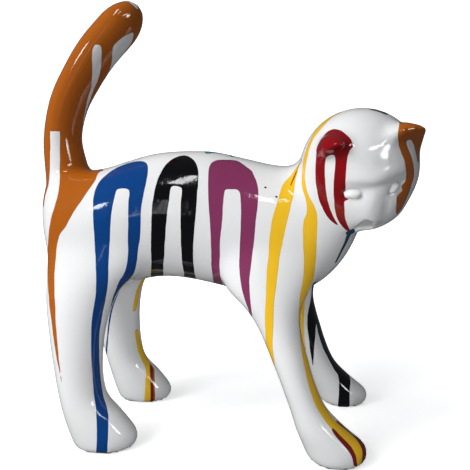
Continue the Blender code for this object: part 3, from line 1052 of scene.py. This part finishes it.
# How far out the paper begins to glow more and glows most, in metres, and its glow there
GLOW_REACH = (0.2, 1.0)
GLOW = (0.55, 0.95)
bpy.ops.object.select_all(action="DESELECT")
bpy.ops.mesh.primitive_circle_add(vertices=PAPER_SIDES, radius=PAPER_RADIUS, fill_type="NGON",
                                  location=(0, 0, 0))
floor = bpy.context.object
floor.name = "paper_sweep"
bpy.ops.object.mode_set(mode="EDIT")
bpy.ops.mesh.select_mode(type="EDGE")
bpy.ops.mesh.select_all(action="DESELECT")
bpy.ops.mesh.select_non_manifold()
bpy.ops.mesh.extrude_edges_move(TRANSFORM_OT_translate={"value": (0, 0, PAPER_RIM)})
bpy.ops.object.mode_set(mode="OBJECT")
bend = floor.modifiers.new("sweep", "BEVEL")
bend.width = SWEEP
bend.segments = SWEEP_STEPS
bpy.ops.object.modifier_apply(modifier=bend.name)
bpy.ops.object.shade_smooth()
floor.visible_glossy = False
floor.visible_diffuse = False
paper = bpy.data.materials.new("pale paper")
paper.use_nodes = True
tree = paper.node_tree
shader = tree.nodes["Principled BSDF"]
shader.inputs["Roughness"].default_value = PAPER_ROUGHNESS
shader.inputs["Specular IOR Level"].default_value = 0
place = tree.nodes.new("ShaderNodeTexCoord").outputs["Object"]
wire(tree, mixed(noise(*PAPER_NOISE), *PAPER_WHITES), shader.inputs["Base Color"])
away = tree.nodes.new("ShaderNodeVectorMath")
away.operation = "LENGTH"
wire(tree, place, away.inputs[0])
glow = spread(away.outputs["Value"], *GLOW_REACH, *GLOW)
wire(tree, mixed(glow, (0, 0, 0), (1, 1, 1)), shader.inputs["Emission Color"])
shader.inputs["Emission Strength"].default_value = 1
floor.data.materials.append(paper)

# Name, place, aim, width, height, power, how far its light spreads in degrees, and whether it shows in the
# glaze. One that shows there doesn't shade the figure
LIGHTS = [
    ("overhead softbox", (0.1, -0.4, 2.3), (0, 0, 0.2), 2.0, 2.0, 6, 180, False),
    ("front softbox", (-1.5, -1.6, 1.3), (0, 0, 0.25), 1.8, 1.6, 46, 180, False),
    ("left softbox", (-2.0, -0.6, 1.8), (0, 0, 0.25), 1.6, 1.4, 36, 180, False),
    ("bounce board", (-0.45, -0.6, 0.004), (-0.45, -0.6, 1), 1.1, 0.9, 0.8, 180, False),
    ("right low card", (0.42, -0.95, 0.12), (-0.11, 0.05, 0.10), 0.4, 0.2, 0.13, 30, False),
    ("face spot", (-0.35, -0.8, 0.25), (0.152, -0.07, 0.215), 0.06, 0.06, 0.012, 9, False),
    ("ceiling panel", (-0.41, -0.98, 1.65), (-0.025, -0.042, 0.275), 0.11, 0.45, 1.8, 180, True),
    ("ceiling spot", (-0.02, -1.2, 1.55), (0.05, -0.05, 0.26), 0.035, 0.2, 0.35, 180, True),
    ("far window", (-1.2, -1.34, 1.12), (-0.11, -0.05, 0.25), 0.16, 0.2, 1.4, 180, True),
    ("window upper pane", (1.02, -1.45, 1.25), (0.15, -0.078, 0.29), 0.95, 0.15, 0.20, 34, True),
    ("window lower pane", (1.42, -1.30, 0.85), (0.16, -0.078, 0.30), 0.52, 0.6, 0.20, 22, True),
    ("tall strip", (-0.62, -1.85, 0.66), (-0.14, -0.015, 0.40), 0.03, 0.7, 0.16, 180, True),
]
for name, place_at, aim, width, tall, power, degrees, mirrored in LIGHTS:
    lamp = bpy.data.lights.new(name, "AREA")
    lamp.shape = "RECTANGLE"
    lamp.size = width
    lamp.size_y = tall
    lamp.energy = power
    lamp.spread = math.radians(degrees)
    light = bpy.data.objects.new(name, lamp)
    bpy.context.scene.collection.objects.link(light)
    light.location = place_at
    light.rotation_euler = (Vector(aim) - Vector(place_at)).to_track_quat("-Z", "Y").to_euler()
    light.visible_glossy = mirrored
    light.visible_diffuse = not mirrored
    light.visible_camera = False

# The room gives a cool, even fill, and is dim where the glaze mirrors it
ROOM_TINT = (0.92, 0.96, 1.0)
ROOM_FILL = 0.20
ROOM_MIRRORED = 0.07
world = bpy.data.worlds.new("soft room")
world.use_nodes = True
tree = world.node_tree
background = tree.nodes["Background"]
background.inputs["Color"].default_value = (*ROOM_TINT, 1)
ray = tree.nodes.new("ShaderNodeLightPath").outputs["Is Glossy Ray"]
wire(tree, spread(ray, 0, 1, ROOM_FILL, ROOM_MIRRORED), background.inputs["Strength"])
bpy.context.scene.world = world
bpy.context.scene.view_settings.view_transform = "Standard"
